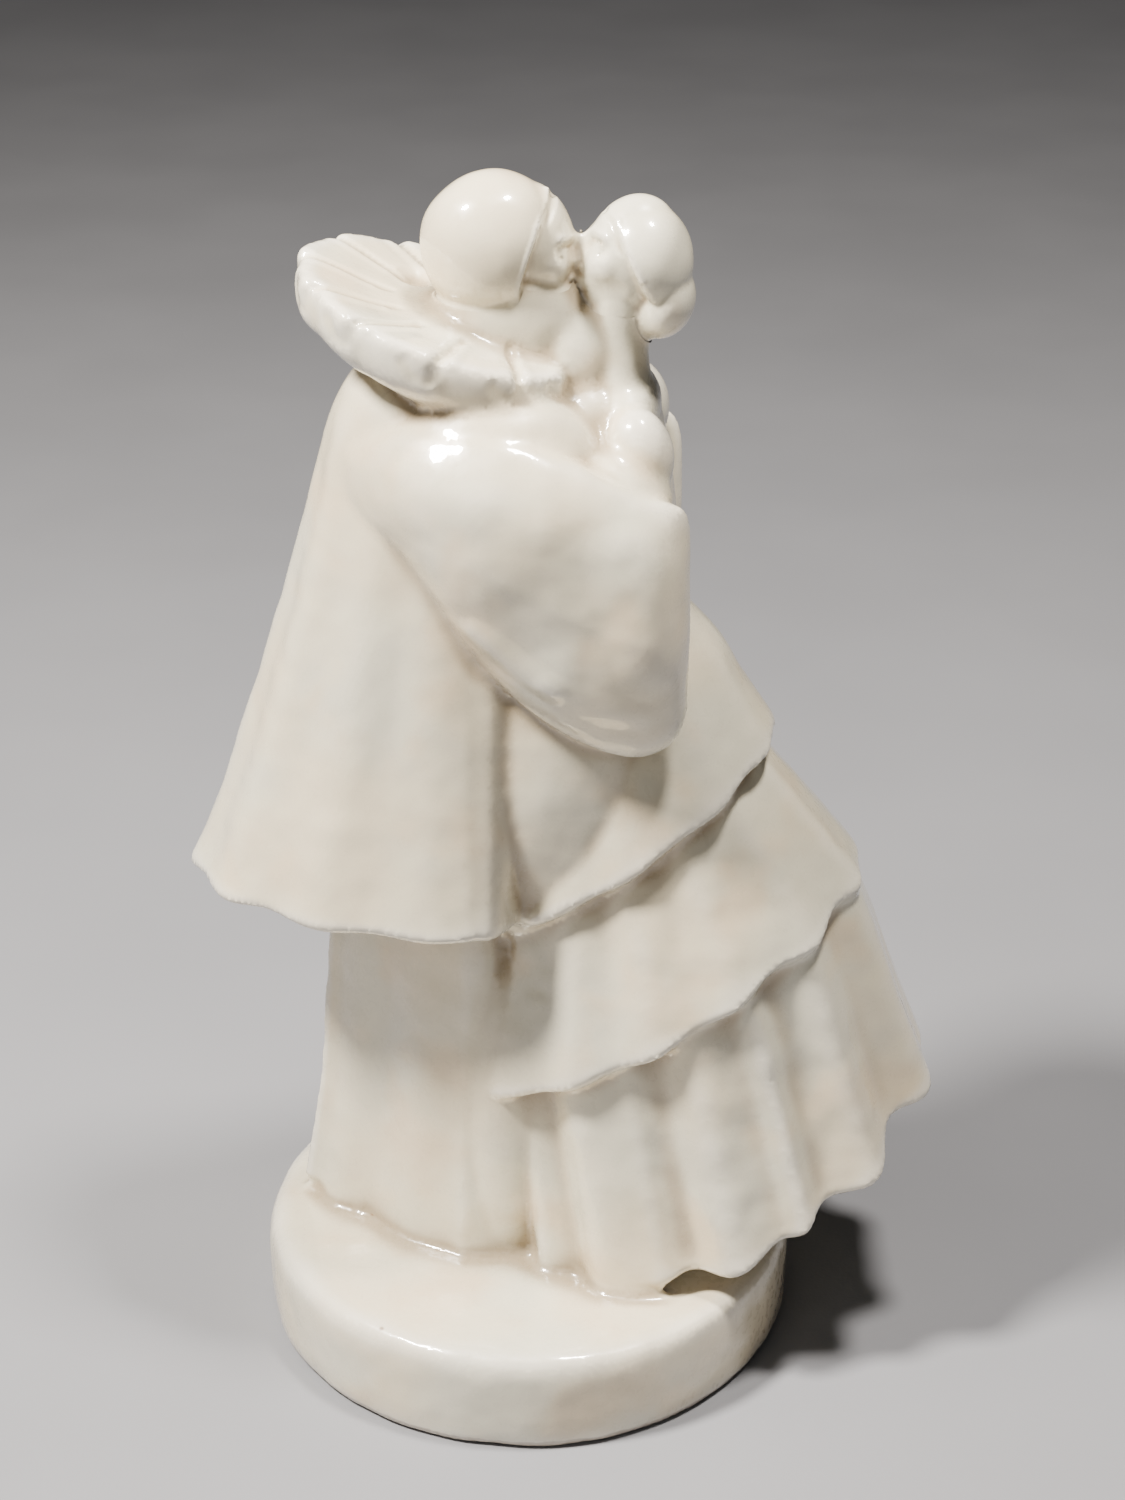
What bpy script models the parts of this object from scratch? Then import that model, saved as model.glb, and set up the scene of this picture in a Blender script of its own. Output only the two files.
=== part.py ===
"""Porcelain statuette of an embracing couple on a round plinth.

A porcelain maker casts the group in sections and lutes them together with slip.
Each cast section is a separate solid here, and the draped ones are hollow.
Lengths are in millimetres, and MM turns them into Blender's metres.
+X runs from the man to the woman, +Y away from the near sleeve, +Z up.
"""

import math

import bmesh
import bpy
from mathutils import Matrix, Vector

MM = 0.001
JOINT_GAP = 0.3  # every luted joint is left open by this much
MIDDLE_Y = 3.0  # the couple's middle plane; the far side mirrors the near side
CENTRE_X = 9.8  # the middle of the whole group, measured from the plinth's centre

PLINTH_RADIUS = 67.0
PLINTH_HEIGHT = 26.0
PLINTH_EDGE = 3.0  # rounding of the plinth's top edge
PLINTH_WALL = 6.0
PLINTH_FOOT_INSET = 1.0  # how far the foot stands inside the wall above it
PLINTH_DRAFT = 2.0  # how far the hollow narrows from its mouth to its ceiling
PLINTH_VENT = 6.0  # radius of the vent into the hollow figures

SMOCK_WALL = 5.0
TROUSER_WALL = 5.0
FLOUNCE_WALL = 7.0
CAP_FRONT = (4.2, 297.0)  # x and z of a point on the skull cap's front edge
CAP_SLOPE = -0.32  # how far the plane of that edge leans back
SLEEVE_TAPER = 0.35  # how much thinner a sleeve is at its hanging edge
SLEEVE_SIDES = 28
RUFF_SIDES = 48
RUFF_PANELS = 12
RUFF_FAR_LIFT = 0.1  # how much higher it stands for each millimetre towards the far side

PORCELAIN = (0.87, 0.84, 0.77)
GLAZE_ROUGHNESS = 0.12

# Draped sections are level rings, from the hem up. The columns are: centre x,
# centre y, height at the left end, reach to the left, reach to the right, half
# depth, rise from the left end to the right end, bend of that rise (1 is straight),
# depth of the pleats.
TROUSERS = (
    (-18, 6, 26.5, 41, 41, 30, 20, 4, 0),
    (-17, 6, 63, 36, 30, 28.5, 4, 4, 0),
    (-16, 5, 106, 34, 16, 27, 0, 1, 0),
    (-16, 4, 142, 30, 9, 24, 0, 1, 0),
)
LOWER_FLOUNCE = (
    (45, 3, 26.5, 56, 56, 46, 46.5, 2.8, 1.6),
    (40, 2.5, 46, 53, 53, 42, 48, 2.1, 1.3),
    (35, 2, 66, 50, 49, 38, 51, 1.6, 0.9),
    (29, 1, 84, 46, 44, 33, 54, 1.1, 0.5),
)
MIDDLE_FLOUNCE = (
    (30, 1, 72, 52, 52, 39, 55, 1.15, 1.0),
    (27, 1, 90, 45, 44, 34.5, 52, 1.1, 0.8),
    (24, 1, 110, 37, 35, 29.5, 47, 1.05, 0.5),
    (20, 1, 131, 30, 25, 24, 42, 1, 0.2),
)
UPPER_FLOUNCE = (
    (21, 1, 117, 38, 38, 32, 48, 1, 0.3),
    (21, 1, 135, 31, 32, 28.5, 40, 1, 0.2),
    (20, 2, 158, 23, 25, 23, 29, 1, 0),
    (19, 3, 186, 15, 17, 18, 10, 1, 0),
)
SMOCK = (
    (-15, 3, 127, 68, 14, 41, -3, 1, 0.8),
    (-15, 3, 143, 62, 15, 38, -2, 1, 0.8),
    (-15, 3, 165, 54.5, 16, 34.5, -1, 1, 0.5),
    (-15, 3, 197, 44, 18, 30, 0, 1, 0),
    (-15, 3, 223, 36.5, 22, 27.5, 0, 1, 0),
    (-15, 3, 243, 31, 24, 25, -2, 1, 0),
    (-15, 3, 254, 25, 22, 22, -4, 1, 0),
)
BUST = (
    (18, 3, 199, 13, 15, 18, 0, 1, 0),
    (18.5, 3, 218, 13, 15, 20, 0, 1, 0),
    (19, 3, 236, 12.5, 13, 21, 0, 1, 0),
    (20, 2.5, 246, 10, 10, 18, 0, 1, 0),
    (20, 1.5, 255, 7.5, 7.3, 10, 0, 1, 0),
    (20, 1, 264, 7, 7, 7.5, 0, 1, 0),
    (21, 0.5, 276, 7, 7, 7.5, 0, 1, 0),
)
PIERROT_NECK = (
    (-14, 3, 240, 17, 15, 15, 0, 1, 0),
    (-13, 3, 252, 16, 15, 14.5, 0, 1, 0),
    (-11, 2.5, 261, 13, 13, 12.5, -1, 1, 0),
    (-9, 2, 272, 10, 10, 10, -1, 1, 0),
)
# The ruff is one closed band, from the foot of its outer wall over the rim and down
# the dish inside.
RUFF = (
    (-17, 3, 262.3, 24, 24, 23, -17.5, 1, 0),
    (-18, 3, 266, 29.5, 28, 26.5, -19, 1, 0.6),
    (-19, 3, 272, 32.4, 31, 29.3, -20.5, 1, 1.0),
    (-19.5, 3, 279.6, 32.5, 31, 29.8, -22.5, 1, 1.0),
    (-19.4, 3, 280.2, 30.6, 29.8, 28.5, -22.4, 1, 0.8),
    (-18.5, 3, 277.6, 25.5, 25.5, 24, -18, 1, 0.6),
    (-16, 3, 273.6, 19, 19.5, 18.5, -12, 1, 0.3),
    (-13, 3, 268, 14.5, 15.5, 14, -8, 1, 0),
)
# A sleeve is a row of upright sections: x, y, z, half thickness, half height.
SLEEVE = (
    (-38, -12, 232, 6, 9),
    (-27, -20, 232, 11, 16),
    (-13, -26, 222, 13, 26),
    (0, -28.5, 215, 13, 31),
    (12, -29.5, 209, 12.5, 32.5),
    (24, -29, 204.5, 11, 31),
    (32, -27, 204, 8, 26),
    (35.5, -25, 205, 4.5, 20),
)

# Rounded pieces: centre, half sizes, lean about Y in degrees.
SKULL_CAP = ((-8, 2, 283.8), (16.5, 14.8, 16.6), 6)
PIERROT_HEAD = ((-1.5, 1.5, 281.5), (12.2, 10.8, 15.5), -6)
COLUMBINE_HAIR = ((27, 1, 280.5), (11.5, 13.5, 14.5), -12)
COLUMBINE_HEAD = ((21.5, 0.5, 279.5), (11, 11, 14.5), 12)
UPPER_ARM = ((24, -16, 243), (8.5, 9, 12.5), -14)


# ---------------------------------------------------------------- scene
def clear_scene():
    for old in list(bpy.data.objects):
        bpy.data.objects.remove(old)


def make_collection(name):
    made = bpy.data.collections.new(name)
    bpy.context.scene.collection.children.link(made)
    return made


def make_material(name, colour, roughness):
    made = bpy.data.materials.new(name)
    made.use_nodes = True
    shader = made.node_tree.nodes["Principled BSDF"]
    shader.inputs["Base Color"].default_value = (*colour, 1)
    shader.inputs["Roughness"].default_value = roughness
    shader.inputs["Metallic"].default_value = 0
    return made


def place(bm, name, home):
    """Turns a bmesh in millimetres into an object of the group."""
    bmesh.ops.transform(bm, matrix=Matrix.Scale(MM, 4), verts=bm.verts)
    bmesh.ops.recalc_face_normals(bm, faces=bm.faces)
    mesh = bpy.data.meshes.new(name)
    bm.to_mesh(mesh)
    bm.free()
    mesh.shade_smooth()
    made = bpy.data.objects.new(name, mesh)
    home.objects.link(made)
    return made


# ---------------------------------------------------------------- rings and lofts
def smooth_rows(rows, steps):
    """The rows with more rows between them, on a smooth curve through them all."""
    last = len(rows) - 1
    found = []
    for i in range(last):
        before, after = rows[max(i - 1, 0)], rows[min(i + 2, last)]
        for step in range(steps):
            t = step / steps
            into = t * t * (3 - 2 * t)
            leave, arrive = t * (1 - t) ** 2, t * t * (t - 1)
            found.append([
                b * (1 - into) + c * into + leave * (c - a) / 2 + arrive * (d - b) / 2
                for a, b, c, d in zip(before, rows[i], rows[i + 1], after)
            ])
    found.append(list(rows[last]))
    return found


def level_ring(row, sides, grow=0.0, shift=0.0, pleats=0, crease=0.0):
    """One ring of a draped section, grown sideways and shifted up on request.

    crease draws the left end in to a fold, like the pressed back of a trouser leg.
    """
    x, y, z, left, right, depth, rise, bend, fold = row
    points = []
    for i in range(sides):
        angle = math.tau * i / sides
        c, s = math.cos(angle), math.sin(angle)
        swell = grow + fold * math.cos(pleats * angle) * min(1, 1 + c)
        reach = (right if c > 0 else left) + swell
        narrow = 1 - crease * max(0, -c)
        height = z + shift + rise * ((1 + c) / 2) ** bend
        points.append((x + reach * c, y + (depth + swell) * s * narrow, height))
    return points


def upright_ring(row, sides, grow=0.0):
    """One section of a sleeve, drawn in towards its hanging edge."""
    x, y, z, thick, high = row
    points = []
    for i in range(sides):
        angle = math.tau * i / sides
        c, s = math.cos(angle), math.sin(angle)
        taper = 1 - SLEEVE_TAPER * max(0, -s)
        points.append((x, y + (thick + grow) * c * taper, z + (high + grow) * s))
    return points


def skin(rings, closed):
    """A bmesh skin through rings; closed joins the last ring to the first."""
    bm = bmesh.new()
    loops = [[bm.verts.new(point) for point in ring] for ring in rings]
    pairs = list(zip(loops, loops[1:]))
    if closed:
        pairs.append((loops[-1], loops[0]))
    sides = len(loops[0])
    for near, far in pairs:
        for i in range(sides):
            j = (i + 1) % sides
            bm.faces.new((near[i], near[j], far[j], far[i]))
    if not closed:
        for loop in (loops[0], loops[-1]):
            middle = sum((v.co for v in loop), Vector()) / sides
            hub = bm.verts.new(middle)
            for i in range(sides):
                bm.faces.new((loop[i], loop[(i + 1) % sides], hub))
    return bm


def draped_shell(rows, wall, steps=2, sides=40, pleats=0, crease=0.0):
    """A maker for a hollow cast section, open at its hem and its top.

    The maker's cutter is the same section filled in and grown by the joint gap.
    """
    fine = smooth_rows(rows, steps)

    def ring(row, grow, shift=0.0):
        return level_ring(row, sides, grow, shift, pleats, crease)

    def make(name, grow, home):
        outer = [ring(row, grow) for row in fine]
        if grow:
            foot = [ring(fine[0], -wall, -grow), ring(fine[0], grow, -grow)]
            top = [ring(fine[-1], grow, grow), ring(fine[-1], -wall, grow)]
            return place(skin(foot + outer[1:-1] + top, False), name, home)
        inner = [ring(row, -wall) for row in reversed(fine)]
        return place(skin(outer + inner, True), name, home)

    return make


def draped_solid(rows, steps=2, sides=32):
    def make(name, grow, home):
        rings = [level_ring(row, sides, grow) for row in smooth_rows(rows, steps)]
        return place(skin(rings, False), name, home)

    return make


def ruff_collar(name, grow, home):
    rings = [
        [(x, y, z + (y - MIDDLE_Y) * RUFF_FAR_LIFT) for x, y, z in
         level_ring(row, RUFF_SIDES, pleats=RUFF_PANELS)]
        for row in RUFF
    ]
    made = place(skin(rings, True), name, home)
    if grow:
        swell = made.modifiers.new("joint gap", "DISPLACE")
        swell.strength = grow * MM
        swell.mid_level = 0
    return made


def sleeve(side):
    """A maker for the near sleeve (side 1) or its mirror image (side -1)."""
    def make(name, grow, home):
        rings = [upright_ring(row, SLEEVE_SIDES, grow) for row in smooth_rows(SLEEVE, 2)]
        if side < 0:
            rings = [[(x, 2 * MIDDLE_Y - y, z) for x, y, z in ring] for ring in rings]
        return place(skin(rings, False), name, home)

    return make


def ball(shape, side=1, segments=24, rings=14):
    """A maker for an egg; side -1 mirrors it in the couple's middle plane."""
    (x, y, z), (wide, deep, high), lean = shape
    if side < 0:
        y = 2 * MIDDLE_Y - y

    def make(name, grow, home):
        bm = egg((x, y, z), (wide + grow, deep + grow, high + grow), lean, segments, rings)
        return place(bm, name, home)

    return make


def egg(centre, half_sizes, lean, segments=24, rings=14):
    matrix = Matrix.Translation(centre) @ Matrix.Rotation(math.radians(lean), 4, "Y")
    matrix = matrix @ Matrix.Diagonal((*half_sizes, 1))
    bm = bmesh.new()
    bmesh.ops.create_uvsphere(bm, u_segments=segments, v_segments=rings, radius=1, matrix=matrix)
    return bm


def skull_cap(name, grow, home):
    """An egg that stops at the plane of the cap's front edge."""
    centre, half_sizes, lean = SKULL_CAP
    bm = egg(centre, [size + grow for size in half_sizes], lean)
    everything = bm.verts[:] + bm.edges[:] + bm.faces[:]
    front_x, front_z = CAP_FRONT
    front = (front_x + grow, 0, front_z)
    bmesh.ops.bisect_plane(bm, geom=everything, plane_co=front,
                           plane_no=(1, 0, CAP_SLOPE), clear_outer=True)
    bmesh.ops.holes_fill(bm, edges=[edge for edge in bm.edges if edge.is_boundary])
    return place(bm, name, home)


def plinth(name, grow, home):
    """A turned slab, hollowed from below, with a vent through its middle."""
    curve = [
        (PLINTH_RADIUS - PLINTH_EDGE * (1 - math.sin(a)),
         PLINTH_HEIGHT - PLINTH_EDGE * (1 - math.cos(a)))
        for a in (0, math.pi / 6, math.pi / 3, math.pi / 2)
    ]
    inner_radius = PLINTH_RADIUS - PLINTH_WALL
    ceiling = PLINTH_HEIGHT - PLINTH_WALL
    outline = [(PLINTH_VENT, PLINTH_HEIGHT), *curve, (PLINTH_RADIUS - PLINTH_FOOT_INSET, 0),
               (inner_radius, 0), (inner_radius - PLINTH_DRAFT, ceiling), (PLINTH_VENT, ceiling)]
    mesh = bpy.data.meshes.new(name)
    corners = [(radius * MM, 0, height * MM) for radius, height in outline]
    edges = [(i, (i + 1) % len(outline)) for i in range(len(outline))]
    mesh.from_pydata(corners, edges, [])
    made = bpy.data.objects.new(name, mesh)
    home.objects.link(made)
    turn = made.modifiers.new("turned", "SCREW")
    turn.steps = turn.render_steps = 64
    turn.use_merge_vertices = True
    turn.merge_threshold = 0.00001
    turn.use_smooth_shade = True
    return made


# ---------------------------------------------------------------- assembly
# name, maker, names of the neighbours that it makes room for
PIECES = (
    ("skull_cap", skull_cap, ()),
    ("pierrot_head", ball(PIERROT_HEAD), ("skull_cap",)),
    ("columbine_hair", ball(COLUMBINE_HAIR), ()),
    ("columbine_head", ball(COLUMBINE_HEAD), ("columbine_hair", "pierrot_head")),
    ("ruff_collar", ruff_collar, ("skull_cap", "pierrot_head", "columbine_head")),
    ("columbine_near_arm", ball(UPPER_ARM), ()),
    ("columbine_far_arm", ball(UPPER_ARM, side=-1), ()),
    ("pierrot_neck", draped_solid(PIERROT_NECK, steps=1), ("skull_cap", "pierrot_head", "ruff_collar")),
    ("near_sleeve", sleeve(1), ("ruff_collar", "columbine_near_arm", "pierrot_neck")),
    ("far_sleeve", sleeve(-1), ("ruff_collar", "columbine_far_arm", "pierrot_neck")),
    ("columbine_bust", draped_solid(BUST, steps=1), (
        "columbine_hair", "columbine_head", "ruff_collar", "columbine_near_arm",
        "columbine_far_arm", "near_sleeve", "far_sleeve", "pierrot_neck", "pierrot_head")),
    ("upper_flounce", draped_shell(UPPER_FLOUNCE, FLOUNCE_WALL, sides=48, pleats=14), (
        "near_sleeve", "far_sleeve", "columbine_bust")),
    ("middle_flounce", draped_shell(MIDDLE_FLOUNCE, FLOUNCE_WALL, sides=48, pleats=16), (
        "upper_flounce",)),
    ("lower_flounce", draped_shell(LOWER_FLOUNCE, FLOUNCE_WALL, sides=54, pleats=18), (
        "middle_flounce",)),
    ("smock", draped_shell(SMOCK, SMOCK_WALL, steps=1, sides=36, pleats=9), (
        "ruff_collar", "near_sleeve", "far_sleeve", "columbine_bust", "upper_flounce",
        "middle_flounce")),
    ("trousers", draped_shell(TROUSERS, TROUSER_WALL, crease=0.8), (
        "lower_flounce", "middle_flounce", "upper_flounce")),
    ("plinth", plinth, ()),
)


def main():
    clear_scene()
    parts = make_collection("porcelain_figurine")
    cutters = make_collection("cutters")
    glazed = make_material("glazed_porcelain", PORCELAIN, GLAZE_ROUGHNESS)
    root = bpy.data.objects.new("group_origin", None)
    root.location.x = -CENTRE_X * MM
    parts.objects.link(root)

    makers = {name: maker for name, maker, neighbours in PIECES}
    cutter_of = {}

    def cutter(name):
        if name not in cutter_of:
            made = makers[name](name + "_room", JOINT_GAP, cutters)
            made.parent = root
            made.hide_render = True
            made.display_type = "WIRE"
            cutter_of[name] = made
        return cutter_of[name]

    for name, maker, neighbours in PIECES:
        made = maker(name, 0, parts)
        made.parent = root
        made.data.materials.append(glazed)
        for neighbour in neighbours:
            cut = made.modifiers.new("room for " + neighbour, "BOOLEAN")
            cut.operation = "DIFFERENCE"
            cut.object = cutter(neighbour)


main()
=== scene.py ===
import math

import bpy
import numpy as np
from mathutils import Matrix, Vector


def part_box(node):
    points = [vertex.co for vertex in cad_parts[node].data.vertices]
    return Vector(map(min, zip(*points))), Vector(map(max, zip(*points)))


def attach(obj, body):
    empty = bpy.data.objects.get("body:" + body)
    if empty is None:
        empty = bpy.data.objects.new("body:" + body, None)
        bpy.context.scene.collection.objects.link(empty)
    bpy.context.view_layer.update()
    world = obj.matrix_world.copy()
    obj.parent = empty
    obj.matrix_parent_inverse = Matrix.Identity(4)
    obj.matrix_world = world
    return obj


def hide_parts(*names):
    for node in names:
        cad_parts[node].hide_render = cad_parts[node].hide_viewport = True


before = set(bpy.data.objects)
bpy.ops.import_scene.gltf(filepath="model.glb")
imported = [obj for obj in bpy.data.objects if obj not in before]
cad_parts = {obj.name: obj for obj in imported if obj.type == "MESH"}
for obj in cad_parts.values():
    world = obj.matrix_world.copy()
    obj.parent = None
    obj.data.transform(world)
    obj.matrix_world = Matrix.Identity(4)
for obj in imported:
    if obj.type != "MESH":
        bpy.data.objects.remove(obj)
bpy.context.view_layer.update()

# every length below is in millimetres from the middle of the plinth's underside
plinthLow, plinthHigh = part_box("plinth")
plinthWidth = 134  # across the plinth, in those millimetres
mm = (plinthHigh.x - plinthLow.x) / plinthWidth
plinthMiddle = Vector(((plinthLow.x + plinthHigh.x) / 2, (plinthLow.y + plinthHigh.y) / 2, plinthLow.z))
middleY = 3  # the couple's middle plane, where the far side mirrors the near side

skin = {
    "bodyVoxel": 0.8,  # mm between the points of the draped body's skin
    "headVoxel": 0.42,  # finer, for the heads
    "bodyRounds": 6,  # rounds of smoothing
    "headRounds": 4,
    "bodyFill": 1.3,  # how far the glaze fills the creases of the draped parts
    "handSize": 17,  # the unevenness left by the modeller's hand, across and deep
    "handDepth": 0.95,
    "seamReach": 1.6,  # how far a section's joint line stands off its own form
    "headSeamReach": 1.3,
    "seamVoxel": 1.0,
    "headSeamVoxel": 0.6,
    "seamRounds": 3,
}
poolAndShadeMasks = {
    # attribute for glaze pools and painted shade: rounds of smoothing and depth in mm of the hollows that
    # it finds
    "poolAndShade": (60, 0.9),
    "headPoolAndShade": (60, 0.6),
    "hollow": (500, 3.0),
}


def say(text):
    print("figurine:", text, flush=True)


def deselectAll():
    if bpy.context.mode != "OBJECT":
        bpy.ops.object.mode_set(mode="OBJECT")
    bpy.ops.object.select_all(action="DESELECT")


def makeActive(piece):
    deselectAll()
    piece.select_set(True)
    bpy.context.view_layer.objects.active = piece


def readPlaces(piece):
    places = np.empty(len(piece.data.vertices) * 3)
    piece.data.vertices.foreach_get("co", places)
    return places.reshape(-1, 3)


def writePlaces(piece, places):
    piece.data.vertices.foreach_set("co", np.asarray(places, dtype=float).ravel())
    piece.data.update()


def readNormals(piece):
    normals = np.empty(len(piece.data.vertices) * 3)
    piece.data.vertex_normals.foreach_get("vector", normals)
    return normals.reshape(-1, 3)


def inRoom(points):
    # from millimetres round the plinth to metres in the frame
    return np.asarray(points, dtype=float) * mm + np.array(plinthMiddle)


def applyModifier(piece, kind, **settings):
    makeActive(piece)
    modifier = piece.modifiers.new(kind.lower(), kind)
    for setting, value in settings.items():
        setattr(modifier, setting, value)
    bpy.ops.object.modifier_apply(modifier=modifier.name)


def outwardNormals(piece):
    makeActive(piece)
    bpy.ops.object.mode_set(mode="EDIT")
    bpy.ops.mesh.select_all(action="SELECT")
    bpy.ops.mesh.normals_make_consistent(inside=False)
    bpy.ops.object.mode_set(mode="OBJECT")


def remesh(piece, voxel):
    applyModifier(piece, "REMESH", mode="VOXEL", voxel_size=voxel * mm)


def swell(piece, distance):
    applyModifier(piece, "DISPLACE", strength=distance * mm, mid_level=0)


def relax(piece, rounds, factor=0.5):
    applyModifier(piece, "SMOOTH", iterations=rounds, factor=factor)


def copyOf(piece, name):
    twin = piece.copy()
    twin.data = piece.data.copy()
    twin.name = name
    bpy.context.collection.objects.link(twin)
    return twin


def ringStack(name, rings):
    # a circle extruded ring by ring, then every ring pulled to its own outline
    sides = len(rings[0])
    deselectAll()
    bpy.ops.mesh.primitive_circle_add(vertices=sides, radius=mm, fill_type="NGON", location=(0, 0, 0))
    piece = bpy.context.object
    piece.name = name
    bpy.ops.object.mode_set(mode="EDIT")
    for _ in rings[1:]:
        bpy.ops.mesh.extrude_region_move(TRANSFORM_OT_translate={"value": (0, 0, mm)})
    bpy.ops.object.mode_set(mode="OBJECT")
    start = readPlaces(piece)
    ringOf = np.rint(start[:, 2] / mm).astype(int)
    sideOf = np.rint(np.arctan2(start[:, 1], start[:, 0]) * sides / math.tau).astype(int) % sides
    writePlaces(piece, inRoom(np.array(rings)[ringOf, sideOf]))
    outwardNormals(piece)
    return piece


def smoothRows(rows, steps):
    # more rows on a smooth curve through the given ones
    rows = np.array(rows, dtype=float)
    found = []
    for i in range(len(rows) - 1):
        before, here = rows[max(i - 1, 0)], rows[i]
        there, after = rows[i + 1], rows[min(i + 2, len(rows) - 1)]
        for t in np.arange(steps) / steps:
            into = t * t * (3 - 2 * t)
            leave, arrive = t * (1 - t) ** 2, t * t * (t - 1)
            found.append(here * (1 - into) + there * into
                         + leave * (there - before) / 2 + arrive * (after - here) / 2)
    found.append(rows[-1])
    return found


def foldWave(folds, degrees):
    # height of the cloth's folds round a ring, smooth between (degrees, height) points
    at = [fold[0] for fold in folds]
    at = np.array([at[-1] - 360] + at + [at[0] + 360])
    height = [fold[1] for fold in folds]
    height = np.array([height[-1]] + height + [height[0]])
    degrees = np.asarray(degrees) % 360
    i = np.clip(np.searchsorted(at, degrees, side="right") - 1, 0, len(at) - 2)
    t = (degrees - at[i]) / (at[i + 1] - at[i])
    t = t * t * (3 - 2 * t)
    return height[i] * (1 - t) + height[i + 1] * t


def bothSides(folds, softer=0.85, shift=4):
    # near-side folds, 180 to 360 degrees, and softer ones mirrored round the far side, a little
    # shifted where they aren't near the middle
    far = []
    for at, height in reversed(folds):
        if 181 < at < 359:
            far.append((360 - at + (shift if 190 < at < 350 else 0), height * softer))
    return far + list(folds)


def drapedRings(rows, sides, steps, folds=None, crease=0.0, droop=0.5):
    # columns: x, y, height at the left, reach left, reach right, half depth,
    # rise to the right, bend of the rise, strength of the folds
    angle = np.arange(sides) * math.tau / sides
    c, s = np.cos(angle), np.sin(angle)
    wave = foldWave(folds, np.degrees(angle)) if folds else np.zeros(sides)
    rings = []
    for x, y, z, left, right, depth, rise, bend, fold in smoothRows(rows, steps):
        out = wave * fold
        reach = np.where(c > 0, right, left) + out
        narrow = 1 - crease * np.clip(-c, 0, 1)
        height = z + rise * ((1 + c) / 2) ** bend - droop * out
        rings.append(np.stack([x + reach * c, y + (depth + out) * s * narrow, height], axis=1))
    return rings


def hemmed(rows, thickness, roll, hollow):
    # puts a rolled hem and a hollow underside below the first row
    foot = list(rows[0])

    def inset(distance, lift):
        row = list(foot)
        row[2] += lift
        for column in (3, 4, 5):
            row[column] -= distance
        return tuple(row)

    # the roof of the hollow, its side, and the two turns of the roll
    under = [inset(thickness * 4, hollow), inset(thickness + 1.5, hollow * 0.7),
             inset(thickness, roll), inset(thickness * 0.5, 0)]
    return under, [inset(0, roll)] + list(rows[1:])


def strokes(piece, marks):
    # sculpting strokes: each pulls (or pushes, below zero) the skin near a line of points,
    # along its own normals or along a given direction
    places = readPlaces(piece)
    normals = readNormals(piece)
    moved = np.zeros_like(places)
    for *line, radius, pull, way in marks:
        away = np.full(len(places), np.inf)
        for start, end in zip(inRoom(line), inRoom(line[1:])):
            along = end - start
            t = np.clip((places - start) @ along / max(along @ along, 1e-12), 0, 1)
            away = np.minimum(away, np.linalg.norm(places - start - t[:, None] * along, axis=1))
        amount = pull * mm * np.clip(1 - (away / (radius * mm)) ** 2, 0, 1) ** 2
        moved += amount[:, None] * (normals if way is None else np.asarray(way))
    writePlaces(piece, places + moved)


def handMarks(piece):
    # the slow unevenness of a surface smoothed by hand
    texture = bpy.data.textures.get("handMarks") or bpy.data.textures.new("handMarks", "CLOUDS")
    texture.noise_scale = skin["handSize"] * mm
    texture.noise_depth = 1
    applyModifier(piece, "DISPLACE", texture=texture, texture_coords="LOCAL",
                  strength=skin["handDepth"] * mm, mid_level=0.5)


def onBothSides(marks):
    # near-side strokes, and the same mirrored in the couple's middle plane
    def across(point):
        return point[0], 2 * middleY - point[1], point[2]

    return list(marks) + [(*map(across, line), radius, pull, way) for *line, radius, pull, way in marks]


say("frame loaded")

plinthShape = {
    # radius, height: up the hollow underside, round the foot, wall and edge, and over the top
    "outline": ((20, 17), (57, 16.5), (60.5, 14), (62, 1.2), (63, 0), (65.5, 0), (66.5, 1.0),
                (67.2, 8), (67.2, 17), (66.8, 22), (65.6, 24.6), (63.2, 25.8), (58, 26.0),
                (40, 25.6), (18, 25.6)),
    "outOfRound": ((140, 2.2), (225, 1.6), (275, 1.2), (320, -0.9), (20, -0.6), (75, 0.4)),
    "sides": 144,
    "coreRadius": 60,  # inside it the outline goes back to round
    "sway": (0.35, 0.6, 20),  # how far the top rises and falls, its turn, and the height it starts at
}


def makePlinth():
    sides = plinthShape["sides"]
    angle = np.arange(sides) * math.tau / sides
    uneven = foldWave(sorted(plinthShape["outOfRound"]), np.degrees(angle))
    swayRise, swayTurn, swayFrom = plinthShape["sway"]
    rings = []
    for radius, height in smoothRows(plinthShape["outline"], 2):
        grown = radius + uneven * min(1, (radius / plinthShape["coreRadius"]) ** 3)
        sway = swayRise * np.sin(angle * 2 + swayTurn) if height > swayFrom else 0
        level = height + sway * np.ones(sides)
        rings.append(np.stack([grown * np.cos(angle), grown * np.sin(angle), level], axis=1))
    return ringStack("plinthForm", rings)


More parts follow.
